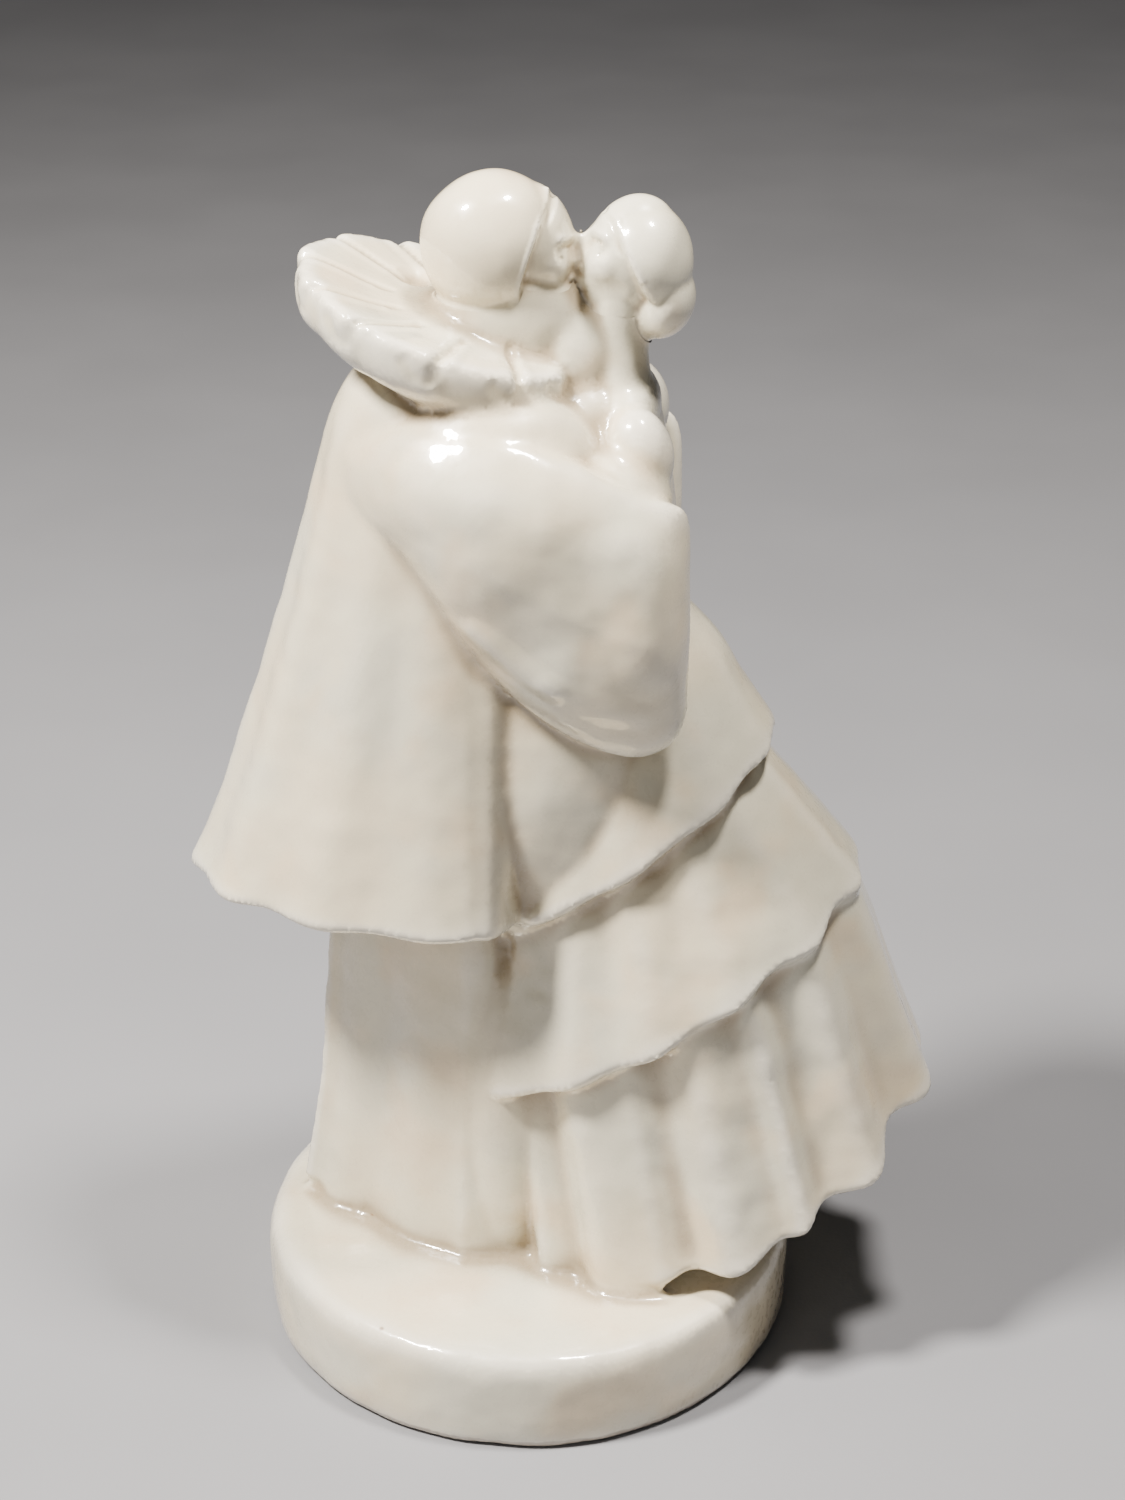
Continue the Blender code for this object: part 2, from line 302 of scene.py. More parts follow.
trousers = {
    "rows": (
        (-18, 6, 30.8, 41.5, 41, 31, -5.6, 0.5, 1), (-18, 6, 38, 40, 38, 30, -4, 0.6, 1),
        (-17, 6, 63, 37, 30, 28.5, 4, 4, 1), (-16, 5, 106, 34.5, 18, 27, 0, 1, 1),
        (-16, 4, 142, 31, 10, 24, 0, 1, 1),
    ),
    "folds": bothSides(((186, 1.0), (200, -0.7), (218, 0.7), (234, -1.0), (250, 1.1), (266, -0.8),
                        (285, 0))),
    "crease": 0.72,
}
lowerFlounce = {
    "rows": (
        (45, 3, 25.6, 56, 56, 46.5, 46.5, 2.8, 1.15), (43, 3, 36, 54.5, 54, 44.5, 47, 2.5, 1.15),
        (39, 2.5, 52, 51.5, 51, 41, 49, 2.0, 1.0), (35, 2, 68, 49, 48, 37.5, 52, 1.6, 0.8),
        (30, 1, 84, 46, 43, 33.5, 54, 1.1, 0.6), (24, 1, 104, 38, 34, 27, 46, 1, 0.3),
    ),
    "folds": bothSides(((182, -0.5), (194, -2.2), (206, 1.2), (213, -1.6), (223, 1.4), (231, -1.5),
                        (243, 1.9), (256, 0.4), (264, -2.6), (276, 1.8), (288, -1.4), (294, 0.7),
                        (301, -2.3), (314, 2.6), (327, -2.5), (341, 2.3), (354, -1.4))),
    "hem": (3.6, 1.5, 12),  # thickness, roll and how far it is hollow below
    "sides": 240,
}
middleFlounce = {
    "rows": (
        (30, 1, 71.5, 52.5, 52, 39.5, 55.5, 1.35, 1.0), (28, 1, 82, 48.5, 48, 37, 54, 1.3, 1.0),
        (26, 1, 97, 42, 41, 33, 50, 1.2, 0.85), (23, 1, 114, 35.5, 33, 28.5, 46, 1.1, 0.6),
        (20, 1, 131, 30, 25, 24, 42, 1, 0.3),
    ),
    "folds": bothSides(((183, 0.6), (193, -1.6), (202, 1.4), (212, -1.9), (224, 1.6), (238, 0.1),
                        (247, 1.1), (259, -1.1), (270, 1.0), (281, -1.2), (292, 0.6), (304, -1.4),
                        (317, 1.5), (331, -1.4), (343, 1.3), (354, -0.9))),
    "hem": (3.4, 1.4, 6),
    "sides": 240,
}
upperFlounce = {
    "rows": (
        (21, 1, 115.5, 38.5, 38.5, 32.5, 48.5, 1.2, 1.0), (21, 1, 126, 34.5, 35.5, 30.5, 44, 1.15, 0.9),
        (20.5, 1.5, 143, 28, 30, 27, 36, 1.05, 0.8), (20, 2, 160, 23, 25, 23, 28, 1, 0.6),
        (19, 3, 186, 15, 17.5, 18.5, 11, 1, 0.1),
    ),
    "folds": bothSides(((186, 0.4), (199, -1.0), (210, 0.9), (221, -0.9), (240, 0.8), (258, -0.5),
                        (275, 0.5), (292, -0.6), (308, 0.6), (322, -0.7), (338, 0.6), (350, -0.4))),
    "hem": (3.2, 1.3, 5),
}
smock = {
    "rows": (
        (-15, 3, 126, 68.5, 17, 41.5, -2.5, 1, 1.0), (-15, 3, 136, 64.5, 18, 39.5, -2, 1, 1.0),
        (-15, 3, 152, 58.5, 19, 36.5, -1.5, 1, 0.9), (-15, 3, 174, 51, 20, 33, -1, 1, 0.8),
        (-15, 3, 197, 44, 20, 30, 0, 1, 0.7), (-15, 3, 223, 36.5, 22, 27.5, 0, 1, 0.4),
        (-15, 3, 243, 31.5, 24, 25, -2, 1, 0.2), (-15, 3, 254, 25, 22, 22, -4, 1, 0),
        (-15, 3, 259, 15, 14, 13, -3, 1, 0),
    ),
    "folds": bothSides(((181, 1.2), (195, -0.9), (210, 1.0), (224, -0.8), (238, 0.9), (250, -0.6),
                        (262, 0.6), (276, -0.5), (290, 0.3), (320, 0.2))),
    "hem": (4.0, 1.6, 10),
}


def makeGarment(name, shape, steps=4):
    under, rows = [], list(shape["rows"])
    if "hem" in shape:
        under, rows = hemmed(rows, *shape["hem"])
    sides, folds, crease = shape.get("sides", 180), shape.get("folds"), shape.get("crease", 0)
    rings = drapedRings(under, sides, 1, folds, crease) if under else []
    rings += drapedRings(rows, sides, steps, folds, crease)
    return ringStack(name, rings)


sleeve = {
    # x, y, z, half thickness, half height, taper towards the hanging edge
    "rows": (
        (-44, -6, 231, 3, 5, 0), (-40, -10, 232, 7, 10, 0), (-28, -19, 232.5, 11.5, 16, 0.1),
        (-13, -26, 222.5, 13.5, 27, 0.25), (0, -28.5, 215, 13.5, 32.5, 0.35),
        (12, -29.5, 208.5, 13, 34, 0.4), (24, -29.5, 203.5, 12, 33, 0.4),
        (31.5, -28.5, 203, 9.5, 30.5, 0.3), (35, -27, 203.5, 6, 27.5, 0.1),
        (36.4, -26, 203.5, 2.5, 23, 0),
    ),
    "sides": 72,
    "steps": 5,
}
sleeveFolds = (
    # from, to, radius, pull: hollows and ridges of the near sleeve
    ((12, -42, 213), (0, -42, 209), 21, -1.9),
    ((22, -42, 224), (29, -39, 198), 11, 0.9),
    ((-14, -37, 203), (4, -40, 190), 6, 1.1),
    ((4, -41, 190), (26, -41, 182), 7, 0.8),
    ((-22, -32, 236), (2, -34, 234), 12, 1.0),
)


def makeSleeve(name, side):
    angle = np.arange(sleeve["sides"]) * math.tau / sleeve["sides"]
    rings = []
    for x, y, z, thick, high, taper in smoothRows(sleeve["rows"], sleeve["steps"]):
        narrow = 1 - taper * np.clip(-np.sin(angle), 0, 1)
        across = y + thick * np.cos(angle) * narrow
        if side < 0:
            across = 2 * middleY - across
        rings.append(np.stack([np.full(len(angle), x), across, z + high * np.sin(angle)], axis=1))
    return ringStack(name, rings)


ruff = {
    # up the outer wall, over the rim, down the dish: same columns as the garments
    "rows": (
        (-16, 3, 262, 16, 16, 15, -15, 1, 0), (-17, 3, 262.3, 24, 24, 23, -17.5, 1, 0.3),
        (-17.5, 3, 263.5, 27.5, 27, 25.5, -18.5, 1, 0.8), (-19, 3, 270, 32.4, 31, 29.3, -20.5, 1, 1.0),
        (-19.5, 3, 276.5, 33, 31.5, 30.2, -22, 1, 1.0), (-19.5, 3, 279.6, 32.2, 31, 29.8, -22.5, 1, 1.0),
        (-19.4, 3, 280.2, 30.6, 29.8, 28.5, -22.4, 1, 0.9), (-18.5, 3, 277.6, 25.5, 25.5, 24, -18, 1, 0.6),
        (-16, 3, 273.6, 19, 19.5, 18.5, -12, 1, 0.35), (-12, 2.5, 270.6, 13, 14, 13, -6.5, 1, 0.1),
        (-9, 2, 270.2, 7, 7, 7, -3, 1, 0),
    ),
    "farLift": 0.1,  # how much higher the far side stands, for each mm across
    "joins": (20, 50, 80, 112, 144, 177, 208, 235, 270, 305, 333),  # degrees, between panels
    "panel": 0.9,
    "swell": ((0.0, -1.0), (0.1, -0.35), (0.45, 0.35), (0.85, 0.95), (0.96, 0.5)),  # along one panel
    "sides": 240,
    "steps": 4,
    "droop": -0.6,
    "rimRow": 5.5,  # the rows from the foot of the wall to the rim, and from the rim to the neck
    "dishRows": 4,
    # each join's strokes: degrees from the join and share up the wall, then radius and pull
    "curl": (((-1, 0.95), (-2, 0.75), (-5, 0.6), (-10, 0.6), (-13, 0.7)), 3.0, -0.5),
    "foot": (((-4, 0.56), (-3, 0.4), (-4, 0.2)), 3.2, -0.3),
    "groove": (((0, 1.03), (0, 1.7)), 1.8, -0.5),
    "pleat": (((5, 1.05), (5, 1.6)), 2.4, 0.3),
    "dip": ((-27, 15, 270), (-27, 15, 267), 6, -2.6, (0, 0, 1)),  # a thumb's dip in the dish
}


def panelFolds():
    # each panel swells out, stands proud at its right end and drops into the next
    folds = []
    joins = list(ruff["joins"])
    for here, there in zip(joins, joins[1:] + [joins[0] + 360]):
        span = there - here
        for share, height in ruff["swell"]:
            folds.append(((here + share * span) % 360, height * ruff["panel"]))
    return sorted(folds)


def makeRuff():
    rings = drapedRings(ruff["rows"], ruff["sides"], ruff["steps"], panelFolds(), 0, ruff["droop"])
    for ring in rings:
        ring[:, 2] += (ring[:, 1] - middleY) * ruff["farLift"]
    return ringStack("ruffForm", rings)


def ruffPoint(degrees, share):
    # a point of the ruff's skin: share runs from the foot of the wall (0) over the rim (1)
    # to the neck (2)
    rows, rim = ruff["rows"], ruff["rimRow"]
    place = 1 + share * (rim - 1) if share <= 1 else rim + (share - 1) * ruff["dishRows"]
    k = min(int(place), len(rows) - 2)
    t = place - k
    x, y, z, left, right, depth, rise = [a * (1 - t) + b * t for a, b in zip(rows[k], rows[k + 1])][:7]
    c, s = math.cos(math.radians(degrees)), math.sin(math.radians(degrees))
    across = depth * s
    lift = rise * (1 + c) / 2 + (y + across - middleY) * ruff["farLift"]
    return x + (right if c > 0 else left) * c, y + across, z + lift


def ruffMarks():
    # at each join: a curl and a crease on the wall, a groove and a pleat down the dish
    marks = []
    for join in ruff["joins"]:
        for kind in ("curl", "foot", "groove", "pleat"):
            line, radius, pull = ruff[kind]
            marks.append((*[ruffPoint(join + turn, share) for turn, share in line], radius, pull, None))
    return marks + [ruff["dip"]]


neck = {
    "rows": (
        (-14, 3, 244, 17, 16, 15, 0, 1, 0), (-10, 3, 256, 17, 18, 14.5, -1, 1, 0),
        (-6, 2.5, 264, 18.5, 18.5, 13.5, -1, 1, 0), (-4.5, 2, 270, 17, 17.5, 12.4, -1, 1, 0),
        (-4, 2, 277, 14.5, 13.5, 10.5, -1, 1, 0), (-3.5, 2, 282, 10, 9, 8, -1, 1, 0),
    ),
    "sides": 64,
}
bust = {
    "rows": (
        (18, 3, 190, 12, 15, 17, 0, 1, 0), (18, 3, 206, 12, 16.5, 19, 0, 1, 0),
        (18.5, 3, 222, 12.5, 15.5, 20, 0, 1, 0), (19, 3, 236, 12.5, 13, 20.5, 0, 1, 0),
        (20, 2.5, 246, 10, 10, 17.5, 0, 1, 0), (20, 1.5, 254, 8, 7.6, 11, 0, 1, 0),
        (20, 1, 263, 7.2, 7, 7.6, 0, 1, 0), (21, 0.5, 274, 7, 7, 7.4, 0, 1, 0),
        (22, 0.5, 280, 5, 5, 5, 0, 1, 0),
    ),
    "sides": 96,
}
rounded = {
    # node, centre, half sizes, lean about Y in degrees
    "nearArmForm": ("columbine_near_arm", (24.6, -15.5, 239.8), (8.2, 8.8, 11), -10),
    "farArmForm": ("columbine_far_arm", (24.6, 21.5, 239.4), (8.2, 8.8, 11), -10),
    "shouldersForm": ("columbine_bust", (21.5, 2.5, 246.5), (8.8, 18.5, 9), -8),
    "breastForm": ("columbine_bust", (11, 2.5, 243), (18, 19.5, 14), 0),
    "nearShoulderForm": ("near_sleeve", (-6, -15, 240), (24, 17, 16.5), 12),
    "farShoulderForm": ("far_sleeve", (-6, 21, 240), (24, 17, 16.5), 12),
    "nearElbowForm": ("near_sleeve", (17, -20, 230.5), (16, 12, 12.5), 14),
    "farElbowForm": ("far_sleeve", (17, 26, 230.5), (16, 12, 12.5), 14),
    "nearKneeForm": ("trousers", (-6, -13.5, 60), (13, 12.5, 55), 0),
    "farKneeForm": ("trousers", (-6, 19.5, 60), (13, 12.5, 55), 0),
    "nearLapForm": ("smock", (4, -12, 156), (30, 17, 46), 0),
    "farLapForm": ("smock", (4, 18, 156), (30, 17, 46), 0),
    "chinsForm": ("pierrot_neck", (9, 2.3, 254), (13, 12.5, 20), 0),
    "columbineRollForm": ("columbine_hair", (30.4, 0.6, 271), (7, 10.4, 8.8), 18),
}
cutEggs = {
    # an egg cut off by a plane: a point on the plane, and its outward way
    "skullCapForm": ("skull_cap", (-8, 2, 283.8), (16.5, 14.8, 16.6), 6, (4.2, 0, 297), (1, 0, -0.32)),
    "columbineHairForm": ("columbine_hair", (26, 0.8, 280.8), (11, 12.3, 12.9), -12, (17.5, 0, 295),
                          (-1, 0, -0.435)),
}


def makeEgg(name, centre, halfSizes, lean, detail=5):
    deselectAll()
    bpy.ops.mesh.primitive_ico_sphere_add(subdivisions=detail, radius=1, location=(0, 0, 0))
    piece = bpy.context.object
    piece.name = name
    ball = readPlaces(piece)
    ball /= np.linalg.norm(ball, axis=1)[:, None]
    places = ball * np.array(halfSizes)
    turn = math.radians(lean)
    c, s = math.cos(turn), math.sin(turn)
    spun = np.stack([places[:, 0] * c + places[:, 2] * s, places[:, 1],
                     places[:, 2] * c - places[:, 0] * s], axis=1)
    writePlaces(piece, inRoom(spun + np.array(centre)))
    return piece


def makeCutEgg(name, centre, halfSizes, lean, plane, outward):
    piece = makeEgg(name, centre, halfSizes, lean)
    makeActive(piece)
    bpy.ops.object.mode_set(mode="EDIT")
    bpy.ops.mesh.select_all(action="SELECT")
    bpy.ops.mesh.bisect(plane_co=inRoom(plane), plane_no=outward, clear_outer=True, use_fill=True)
    bpy.ops.object.mode_set(mode="OBJECT")
    outwardNormals(piece)
    return piece


face = {
    # a calm, closed-eyed face on a head 24 deep, 22 wide and 32 high, looking along +X
    # from, to, radius, pull, and a direction where it isn't the skin's own
    "forms": (
        ((10.5, 0, 2), (12.2, 0, -4.6), 2.5, 2.0, (1, 0, 0)),
        ((12.4, 0, -4.8), (12.4, 0, -5.2), 2.3, 1.7, (1, 0, -0.1)),
        ((10.0, 3.2, 0.6), (8.6, 6.6, 0.2), 3.4, -1.5, (1, 0, 0)),
        ((9.3, 4.8, -0.2), (8.8, 5.6, -0.2), 2.6, 1.0, (1, 0, 0)),
        ((10.6, 1.6, 3.4), (8.2, 7.2, 3.0), 2.2, 0.7, None),
        ((8.6, 6.6, -4.6), (7.0, 8.0, -3.6), 4.2, 0.7, None),
        ((10.6, 0, -9.3), (10.2, 1.8, -9.6), 2.0, 1.1, (1, 0, 0)),
        ((10.2, 0, -11.3), (9.9, 1.2, -11.2), 1.8, 1.2, (1, 0, 0)),
        ((9.2, 0, -14.2), (9.0, 0.8, -14.2), 3.4, 1.9, (1, 0, 0)),
        ((3.0, 9.5, -9.5), (7.0, 7.0, -12.0), 5.0, -0.8, None),
    ),
    "lines": (
        ((11.2, 1.6, -6.0), (11.0, 1.9, -6.4), 1.3, 0.5, None),
        ((10.5, 2.9, -1.5), (9.6, 4.8, -2.0), 0.8, -0.4, None),
        ((9.6, 4.8, -2.0), (8.4, 6.9, -1.4), 0.8, -0.4, None),
        ((10.6, 3.0, 1.6), (9.0, 6.8, 1.5), 0.9, -0.35, None),
        ((12.0, 0, -10.3), (11.0, 2.6, -10.2), 0.8, -0.55, None),
        ((11.0, 0, -12.6), (10.6, 1.2, -12.6), 1.3, -0.35, None),
        ((12.0, 0, -7.4), (12.0, 0, -8.4), 0.8, -0.2, None),
    ),
}
edges = {
    # along the cap's and the hair's front edges: points, set-back of the groove, pull of the ridge
    "cap": (((3.7, 2, 295.4), (2.0, -8.4, 290), (0.1, -10.9, 284), (-1.9, -10.7, 278), (-3.6, -8.5, 273)),
            1.8, 0.35),
    "hair": (((19.3, 0.8, 290.9), (19.9, -4.1, 290), (22.3, -10.4, 284), (24.6, -11.1, 279)),
             -1.8, 0.3),
}
edgeGroove = {"ridgeRadius": 1.7, "radius": 1.6, "pull": -0.4}
headShape = {
    "halfSizes": (12, 11, 16),
    "detail": 6,
    "jaw": 0.018,  # how fast the jaw narrows, for each mm below the middle
}
heads = {
    # centre, size against the face's own, which way it looks, nod down, and tilt of the crown
    # to the far side
    "pierrotHeadForm": ((-1, 1.5, 282.8), 0.94, 1, 3, 10),
    "columbineHeadForm": ((23, 0.5, 281), 0.9, -1, -18, 10),
}


def headFrame(name):
    # columns: where the head's own X, Y and Z point, scaled, and its centre
    centre, size, looks, nod, tilt = heads[name]
    n, t = math.radians(nod), math.radians(tilt)
    ahead = np.array([math.cos(n) * looks, 0, -math.sin(n)])
    crown = np.array([math.sin(n) * looks, 0, math.cos(n)])
    tiltedCrown = crown * math.cos(t) + np.array([0, 1, 0]) * math.sin(t)
    tiltedSide = np.cross(tiltedCrown, ahead)
    axes = np.stack([ahead, tiltedSide / np.linalg.norm(tiltedSide), tiltedCrown], axis=1)
    return axes * size, np.array(centre)


def faceMarks(name, marks):
    # the face's strokes, both sides of it, in the figurine's millimetres
    axes, centre = headFrame(name)
    found = []
    for a, b, radius, pull, way in marks:
        for side in (1, -1):
            if side < 0 and a[1] == 0 and b[1] == 0:
                continue
            flip = np.array([1, side, 1])
            ends = [centre + axes @ (np.array(end) * flip) for end in (a, b)]
            size = heads[name][1]
            toward = axes @ (np.array(way) * flip) / size if way else None
            found.append((ends[0], ends[1], radius * size, pull * size, toward))
    return found


def edgeMarks():
    # a low ridge along each edge, and a groove before it
    marks = []
    for points, ahead, pull in edges.values():
        across = points[0][1]
        for side in (1, -1):
            line = [(x, across + (y - across) * side, z) for x, y, z in points]
            marks.append((*line, edgeGroove["ridgeRadius"], pull, None))
            groove = [(x + ahead, y, z) for x, y, z in line]
            marks.append((*groove, edgeGroove["radius"], edgeGroove["pull"], None))
    return marks


def makeHead(name):
    axes, centre = headFrame(name)
    piece = makeEgg(name, (0, 0, 0), headShape["halfSizes"], 0, headShape["detail"])
    local = (readPlaces(piece) - np.array(plinthMiddle)) / mm
    local[:, 1] *= 1 - headShape["jaw"] * np.clip(-local[:, 2], 0, headShape["halfSizes"][2])
    writePlaces(piece, inRoom(local @ axes.T + centre))
    outwardNormals(piece)
    strokes(piece, faceMarks(name, face["forms"]))
    return piece


say("modelling the forms")
forms = {
    "plinth": [makePlinth()],
    "trousers": [makeGarment("trousersForm", trousers)],
    "lower_flounce": [makeGarment("lowerFlounceForm", lowerFlounce)],
    "middle_flounce": [makeGarment("middleFlounceForm", middleFlounce)],
    "upper_flounce": [makeGarment("upperFlounceForm", upperFlounce)],
    "smock": [makeGarment("smockForm", smock)],
    "near_sleeve": [makeSleeve("nearSleeveForm", 1)],
    "far_sleeve": [makeSleeve("farSleeveForm", -1)],
    "ruff_collar": [makeRuff()],
    "pierrot_neck": [makeGarment("neckForm", neck)],
    "columbine_bust": [makeGarment("bustForm", bust)],
}
for name, (node, *shape) in rounded.items():
    forms.setdefault(node, []).append(makeEgg(name, *shape))
for name, (node, *shape) in cutEggs.items():
    forms.setdefault(node, []).append(makeCutEgg(name, *shape))
forms["pierrot_head"] = [makeHead("pierrotHeadForm")]
forms["columbine_head"] = [makeHead("columbineHeadForm")]


def joined(name, nodes):
    # one object from copies of the nodes' forms
    copies = [copyOf(form, name) for node in nodes for form in forms[node]]
    deselectAll()
    for piece in copies:
        piece.select_set(True)
    bpy.context.view_layer.objects.active = copies[0]
    if len(copies) > 1:
        bpy.ops.object.join()
    return copies[0]


def glazedSkin(name, nodes, voxel, fill, rounds):
    # fuses the forms, then lets the glaze fill every crease to the given radius
    piece = joined(name, nodes)
    remesh(piece, voxel)
    swell(piece, fill)
    remesh(piece, voxel)
    swell(piece, -fill)
    remesh(piece, voxel)
    relax(piece, rounds)
    return piece


def poolGlazeAndPaintShade(piece, layerName, rounds, depth):
    # an attribute above 0.5 in a hollow, where the glaze pools and where shade is painted, below 0.5 where
    # it thins on an edge
    smoothed = copyOf(piece, "smoothed")
    relax(smoothed, rounds, 1.0)
    lift = np.einsum("ij,ij->i", readPlaces(smoothed) - readPlaces(piece), readNormals(piece))
    bpy.data.objects.remove(smoothed)
    pooledAndShaded = np.clip(lift / (depth * mm), -1, 1) * 0.5 + 0.5
    layer = piece.data.color_attributes.new(layerName, "FLOAT_COLOR", "POINT")
    layer.data.foreach_set("color", np.repeat(pooledAndShaded, 4))


bodyNodes = ("plinth", "trousers", "lower_flounce", "middle_flounce", "upper_flounce", "smock",
             "near_sleeve", "far_sleeve", "ruff_collar", "pierrot_neck", "columbine_bust",
             "columbine_near_arm", "columbine_far_arm")
headNodes = ("skull_cap", "pierrot_head", "columbine_hair", "columbine_head")
headNeighbours = ("ruff_collar", "pierrot_neck", "columbine_bust", "columbine_near_arm",
                  "columbine_far_arm")

say("fusing the draped body")
bodySkin = glazedSkin("bodySkin", bodyNodes + headNodes, skin["bodyVoxel"], skin["bodyFill"],
                       skin["bodyRounds"])
say("fusing the heads")
headSkin = glazedSkin("headSkin", headNodes + headNeighbours, skin["headVoxel"], skin["bodyFill"],
                      skin["headRounds"])
bodyMarks = onBothSides([(*mark, None) for mark in sleeveFolds]) + ruffMarks()
for whole in (bodySkin, headSkin):
    handMarks(whole)
    strokes(whole, bodyMarks)
strokes(headSkin, edgeMarks())
for headName in heads:
    strokes(headSkin, faceMarks(headName, face["lines"]))
# the hollows' attributes mark where the glaze pools and where shade is painted
say("pooling the glaze")
poolGlazeAndPaintShade(bodySkin, "poolAndShade", *poolAndShadeMasks["poolAndShade"])
poolGlazeAndPaintShade(bodySkin, "hollow", *poolAndShadeMasks["hollow"])
poolGlazeAndPaintShade(headSkin, "poolAndShade", *poolAndShadeMasks["headPoolAndShade"])
say("skins: %d and %d faces" % (len(bodySkin.data.polygons), len(headSkin.data.polygons)))


def seamTool(node, reach, voxel):
    # the node's form grown by the reach: it cuts the skin where the section's joint lies
    tool = joined("seam_" + node, [node])
    remesh(tool, voxel)
    swell(tool, reach)
    remesh(tool, voxel)
    relax(tool, skin["seamRounds"])
    return tool


def cut(piece, tool, operation):
    applyModifier(piece, "BOOLEAN", object=tool, operation=operation, solver="MANIFOLD")


def partSkin(rest, order, reach, voxel, last=None):
    # one closed cast section for each node in turn; what is left is the last one's
    parted = {}
    for node in order:
        tool = seamTool(node, reach, voxel)
        piece = copyOf(rest, node + "_cast")
        cut(piece, tool, "INTERSECT")
        cut(rest, tool, "DIFFERENCE")
        bpy.data.objects.remove(tool)
        parted[node] = piece
    if last:
        rest.name = last + "_cast"
        parted[last] = rest
    else:
        bpy.data.objects.remove(rest)
    return parted


say("parting the heads")
partedHeads = partSkin(copyOf(headSkin, "headRest"), headNodes, skin["headSeamReach"],
                       skin["headSeamVoxel"])
say("parting the body")
bodyRest = copyOf(bodySkin, "bodyRest")
for node in headNodes:
    headTool = seamTool(node, skin["headSeamReach"], skin["headSeamVoxel"])
    cut(bodyRest, headTool, "DIFFERENCE")
    bpy.data.objects.remove(headTool)
bodyOrder = ("ruff_collar", "columbine_near_arm", "columbine_far_arm", "near_sleeve", "far_sleeve",
             "pierrot_neck", "columbine_bust", "upper_flounce", "middle_flounce", "lower_flounce",
             "smock", "trousers")
partedBody = partSkin(bodyRest, bodyOrder, skin["seamReach"], skin["seamVoxel"], "plinth")

glaze = {
    "cream": (0.73, 0.64, 0.46),
    "warm": (0.72, 0.59, 0.40),
    "cool": (0.69, 0.65, 0.51),
    "pooledAndShaded": (0.44, 0.34, 0.215),  # where it lies thick in a hollow, with painted shade darkening it there
    "thin": (0.80, 0.755, 0.65),  # where it runs thin on an edge
    "deep": (0.34, 0.275, 0.18),  # painted shade under the hems, where little light comes in
    "patchSize": 38,  # mm across a patch of cooler glaze
    "blushSize": 20.9,  # mm across a warm blush
    "ior": 1.5,
    "coatRoughness": 0.03,
    "fineSize": 2.2,  # mm across the spots where it shines a little less
    "bodyRoughness": (0.24, 0.36),
    "waveSize": 11,  # mm across the slow waves of the surface
    "waves": 0.6,
    "waveHeight": 1.0,
    "peelSize": 1.1,  # mm across the orange peel
    "peel": 0.02,
    "peelHeight": 0.3,
}
spread = {
    # where each change of colour starts and ends, and how strong it is at those two
    "patches": (0.35, 0.65, 0, 1),
    "blush": (0.5, 0.72, 0, 0.8),
    # thick: the glaze's pools, with painted shade in them
    "thick": (0.52, 0.95, 0, 0.85),
    "thin": (0.46, 0.12, 0, 0.6),
    # painted shade under the hems and in the broad hollows
    "deep": (0.6, 1.0, 0, 0.75),
}
biscuit = {
    "clay": (0.66, 0.60, 0.51),
    "grime": (0.42, 0.36, 0.29),
    "height": 1.6,  # mm of bare clay above the table
    "raggedSize": 5,  # mm along the glaze's ragged edge
    "ragged": 1.6,  # mm that it wanders
    "edge": 0.6,  # mm over which it ends
}
kilnSpecks = {
    "colour": (0.22, 0.12, 0.06),
    "apart": 22,  # mm
    "radius": 0.045,  # against the space between them
    "core": 0.4,
    "strength": 0.75,
}


def addNode(tree, kind, at, **settings):
    node = tree.nodes.new(kind)
    node.location = at
    for setting, value in settings.items():
        setattr(node, setting, value)
    return node


def ramp(tree, at, source, stops):
    # black to white between the stops' places
    node = addNode(tree, "ShaderNodeMapRange", at, interpolation_type="SMOOTHSTEP")
    low, high, start, end = stops
    node.inputs["From Min"].default_value = low
    node.inputs["From Max"].default_value = high
    node.inputs["To Min"].default_value = start
    node.inputs["To Max"].default_value = end
    tree.links.new(source, node.inputs["Value"])
    return node.outputs["Result"]


def noise(tree, at, place, size, detail=2.0):
    node = addNode(tree, "ShaderNodeTexNoise", at)
    node.inputs["Scale"].default_value = 1 / (size * mm)
    node.inputs["Detail"].default_value = detail
    tree.links.new(place, node.inputs["Vector"])
    return node.outputs["Fac"]


def blendColours(tree, at, amount, under, over):
    # under and over are colours or the outputs of other nodes
    node = addNode(tree, "ShaderNodeMix", at, data_type="RGBA")
    tree.links.new(amount, node.inputs["Factor"])
    for socket, colour in (("A", under), ("B", over)):
        slot = [one for one in node.inputs if one.name == socket and one.type == "RGBA"][0]
        if isinstance(colour, tuple):
            slot.default_value = (*colour, 1)
        else:
            tree.links.new(colour, slot)
    return [one for one in node.outputs if one.type == "RGBA"][0]


def bump(tree, at, height, strength, distance, under=None):
    node = addNode(tree, "ShaderNodeBump", at)
    node.inputs["Strength"].default_value = strength
    node.inputs["Distance"].default_value = distance * mm
    tree.links.new(height, node.inputs["Height"])
    if under:
        tree.links.new(under, node.inputs["Normal"])
    return node.outputs["Normal"]


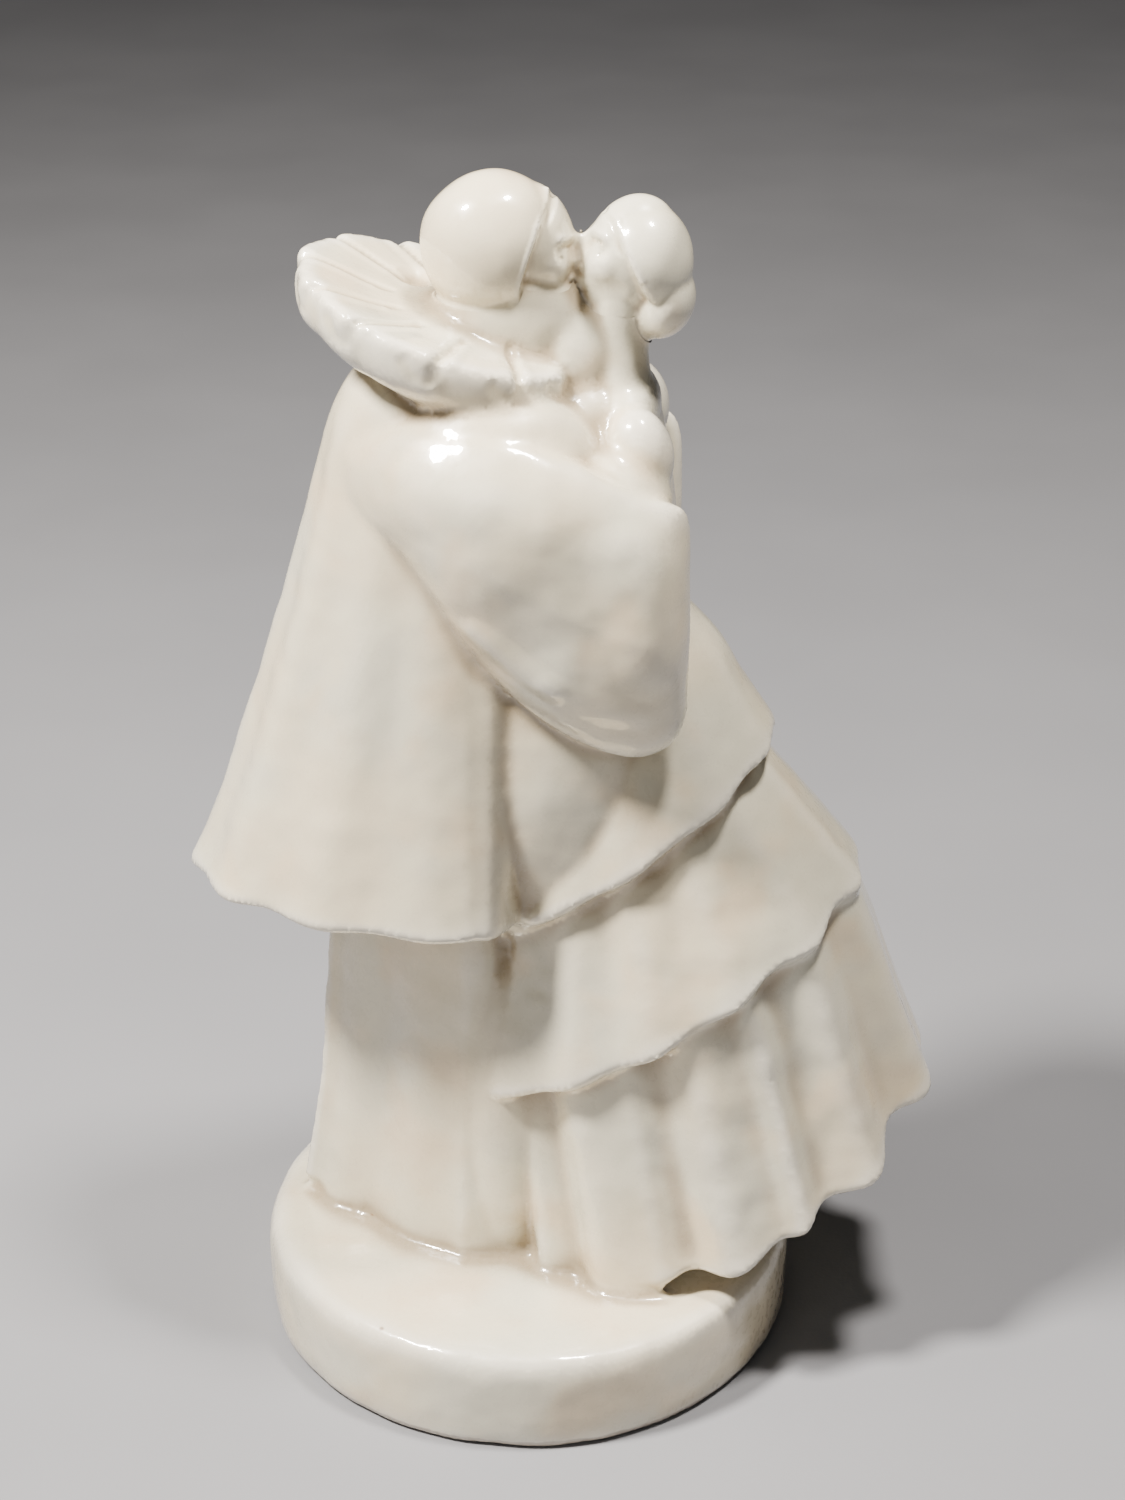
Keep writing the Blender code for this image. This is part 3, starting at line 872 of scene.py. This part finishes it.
def glazedPorcelain(name, footRing=False):
    # clear glaze over white clay, with painted shade in the hollows and under the hems; the foot ring also
    # has kiln specks and bare clay
    made = bpy.data.materials.new(name)
    made.use_nodes = True
    tree = made.node_tree
    shader = tree.nodes["Principled BSDF"]
    shader.inputs["IOR"].default_value = glaze["ior"]
    shader.inputs["Coat Weight"].default_value = 1
    shader.inputs["Coat Roughness"].default_value = glaze["coatRoughness"]
    shader.inputs["Coat IOR"].default_value = glaze["ior"]
    place = addNode(tree, "ShaderNodeTexCoord", (-1600, 0)).outputs["Object"]

    # slow patches of warmer and cooler glaze
    cloud = noise(tree, (-1400, 300), place, glaze["patchSize"], 1.0)
    patches = ramp(tree, (-1200, 300), cloud, spread["patches"])
    colour = blendColours(tree, (-1000, 300), patches, glaze["cool"], glaze["cream"])
    warmCloud = noise(tree, (-1400, 100), place, glaze["blushSize"], 2.0)
    blush = ramp(tree, (-1200, 100), warmCloud, spread["blush"])
    colour = blendColours(tree, (-800, 300), blush, colour, glaze["warm"])

    # thick glaze with painted shade in the hollows, thin glaze on the edges
    poolAndShade = addNode(tree, "ShaderNodeVertexColor", (-1400, -150), layer_name="poolAndShade").outputs["Color"]
    thick = ramp(tree, (-1200, -100), poolAndShade, spread["thick"])
    thin = ramp(tree, (-1200, -300), poolAndShade, spread["thin"])
    # painted shade in the broad hollows under the hems
    hollow = addNode(tree, "ShaderNodeVertexColor", (-1400, -300), layer_name="hollow").outputs["Color"]
    deep = ramp(tree, (-1200, -400), hollow, spread["deep"])
    colour = blendColours(tree, (-600, 300), thick, colour, glaze["pooledAndShaded"])
    colour = blendColours(tree, (-400, 300), thin, colour, glaze["thin"])
    colour = blendColours(tree, (-300, 300), deep, colour, glaze["deep"])

    fine = noise(tree, (-1400, -700), place, glaze["fineSize"], 3.0)
    roughness = ramp(tree, (-1200, -700), fine, (0.3, 0.7, *glaze["bodyRoughness"]))

    if footRing:
        # a few iron specks
        cells = addNode(tree, "ShaderNodeTexVoronoi", (-1400, -500), feature="F1")
        cells.inputs["Scale"].default_value = 1 / (kilnSpecks["apart"] * mm)
        tree.links.new(place, cells.inputs["Vector"])
        radius = kilnSpecks["radius"]
        specks = ramp(tree, (-1200, -500), cells.outputs["Distance"],
                      (radius, radius * kilnSpecks["core"], 0, kilnSpecks["strength"]))
        colour = blendColours(tree, (-200, 300), specks, colour, kilnSpecks["colour"])
        # bare clay where the foot was wiped before the firing
        split = addNode(tree, "ShaderNodeSeparateXYZ", (-1400, 600))
        tree.links.new(place, split.inputs["Vector"])
        foot = plinthMiddle.z + biscuit["height"] * mm
        ragged = noise(tree, (-1400, 800), place, biscuit["raggedSize"], 3.0)
        height = addNode(tree, "ShaderNodeMath", (-1200, 700), operation="MULTIPLY_ADD")
        tree.links.new(ragged, height.inputs[0])
        height.inputs[1].default_value = -biscuit["ragged"] * mm
        tree.links.new(split.outputs["Z"], height.inputs[2])
        bare = ramp(tree, (-1000, 700), height.outputs["Value"],
                    (foot, foot - biscuit["edge"] * mm, 0, 1))
        clay = blendColours(tree, (-800, 800), ragged, biscuit["clay"], biscuit["grime"])
        colour = blendColours(tree, (0, 300), bare, colour, clay)
        dull = addNode(tree, "ShaderNodeMath", (-200, -700), operation="MAXIMUM")
        tree.links.new(roughness, dull.inputs[0])
        tree.links.new(bare, dull.inputs[1])
        roughness = dull.outputs["Value"]

    slow = noise(tree, (-1400, -900), place, glaze["waveSize"], 1.0)
    waves = bump(tree, (-900, -900), slow, glaze["waves"], glaze["waveHeight"])
    quick = noise(tree, (-1400, -1100), place, glaze["peelSize"], 2.0)
    peel = bump(tree, (-700, -1000), quick, glaze["peel"], glaze["peelHeight"], waves)
    tree.links.new(colour, shader.inputs["Base Color"])
    tree.links.new(roughness, shader.inputs["Roughness"])
    tree.links.new(peel, shader.inputs["Normal"])
    tree.links.new(peel, shader.inputs["Coat Normal"])
    return made


say("glazing")
glazed = glazedPorcelain("glazedPorcelain")
glazedFoot = glazedPorcelain("glazedPorcelainFoot", footRing=True)


def takeSkin(piece, source):
    # the skin's own shading and its glaze and painted-shade attributes, so that no joint shows
    applyModifier(piece, "DATA_TRANSFER", object=source, use_loop_data=True,
                  data_types_loops={"CUSTOM_NORMAL"}, loop_mapping="POLYINTERP_NEAREST",
                  use_vert_data=True, data_types_verts={"COLOR_VERTEX"},
                  vert_mapping="POLYINTERP_NEAREST")


def finishPiece(node, piece, source):
    makeActive(piece)
    bpy.ops.object.shade_smooth()
    if source is not bodySkin:
        takeSkin(piece, bodySkin)
    takeSkin(piece, source)
    piece.data.materials.clear()
    piece.data.materials.append(glazedFoot if node == "plinth" else glazed)
    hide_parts(node)
    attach(piece, "root")


for node, piece in partedBody.items():
    finishPiece(node, piece, bodySkin)
for node, piece in partedHeads.items():
    finishPiece(node, piece, headSkin)
scaffold = [form for group in forms.values() for form in group] + [bodySkin, headSkin]
for form in scaffold:
    bpy.data.objects.remove(form)

studio = {
    "table": (0.24, 0.243, 0.26),
    "tableDrop": 0.2,  # mm between the foot and the table
    "roomColour": (0.86, 0.88, 0.92),
    "fill": 0.04,  # strength of the light from all round
    "camera": (7.5, -14, 164.8),  # what it looks at
    "pitch": 26.5,  # degrees down
    "distance": 711,  # mm
    "lens": 72,
    "sensor": 36,
    "nearest": 0.01,  # metres before the lens where the view starts
}
board = {
    # the sheet of board on the table
    "size": 8,  # metres
    "mottleSize": 120,  # mm across its mottling
    "darker": 0.92,
    "roughness": (0.3, 0.7, 0.5, 0.62),
    "grainSize": 0.8,  # mm
    "grain": 0.15,
    "grainHeight": 0.2,
}
lamps = {
    # name: from (mm), at (mm), width and height of the panel (mm), watts, colour
    "leftLamp": ((-470, -190, 900), (0, 0, 150), (160, 160), 33.0, (1.0, 0.94, 0.86)),
    "rightLamp": ((190, -70, 1010), (0, 0, 150), (130, 130), 15.0, (1.0, 0.94, 0.87)),
    "frontPanel": ((-300, -900, 700), (0, 0, 150), (900, 600), 1.3, (1.0, 0.98, 0.95)),
}


def layTable():
    deselectAll()
    x, y, z = plinthMiddle
    bpy.ops.mesh.primitive_plane_add(size=board["size"], location=(x, y, z - studio["tableDrop"] * mm))
    table = bpy.context.object
    table.name = "tableTop"
    bpy.ops.object.transform_apply(location=True)
    made = bpy.data.materials.new("greyBoard")
    made.use_nodes = True
    tree = made.node_tree
    shader = tree.nodes["Principled BSDF"]
    place = addNode(tree, "ShaderNodeTexCoord", (-900, 0)).outputs["Object"]
    mottle = noise(tree, (-700, 0), place, board["mottleSize"], 3.0)
    darker = tuple(board["darker"] * part for part in studio["table"])
    colour = blendColours(tree, (-400, 0), mottle, darker, studio["table"])
    roughness = ramp(tree, (-400, -200), mottle, board["roughness"])
    grain = noise(tree, (-700, -400), place, board["grainSize"], 2.0)
    rough = bump(tree, (-400, -400), grain, board["grain"], board["grainHeight"])
    tree.links.new(colour, shader.inputs["Base Color"])
    tree.links.new(roughness, shader.inputs["Roughness"])
    tree.links.new(rough, shader.inputs["Normal"])
    table.data.materials.append(made)


def hangLamp(name, start, target, size, watts, colour):
    deselectAll()
    home, aim = Vector(inRoom(start)), Vector(inRoom(target))
    bpy.ops.object.light_add(type="AREA", location=home)
    lamp = bpy.context.object
    lamp.name = name
    lamp.rotation_euler = (aim - home).to_track_quat("-Z", "Y").to_euler()
    lamp.data.shape = "ELLIPSE"
    lamp.data.size = size[0] * mm
    lamp.data.size_y = size[1] * mm
    lamp.data.energy = watts
    lamp.data.color = colour


def setCamera():
    deselectAll()
    aim = Vector(inRoom(studio["camera"]))
    pitch = math.radians(studio["pitch"])
    back = Vector((0, -math.cos(pitch), math.sin(pitch))) * studio["distance"] * mm
    bpy.ops.object.camera_add(location=aim + back, rotation=(math.pi / 2 - pitch, 0, 0))
    camera = bpy.context.object
    camera.data.lens = studio["lens"]
    camera.data.sensor_width = studio["sensor"]
    camera.data.clip_start = studio["nearest"]
    bpy.context.scene.camera = camera


def softRoom():
    world = bpy.data.worlds.new("studioRoom")
    world.use_nodes = True
    background = world.node_tree.nodes["Background"]
    background.inputs["Color"].default_value = (*studio["roomColour"], 1)
    background.inputs["Strength"].default_value = studio["fill"]
    bpy.context.scene.world = world


say("laying the table and hanging the lamps")
layTable()
for name, settings in lamps.items():
    hangLamp(name, *settings)
softRoom()
setCamera()
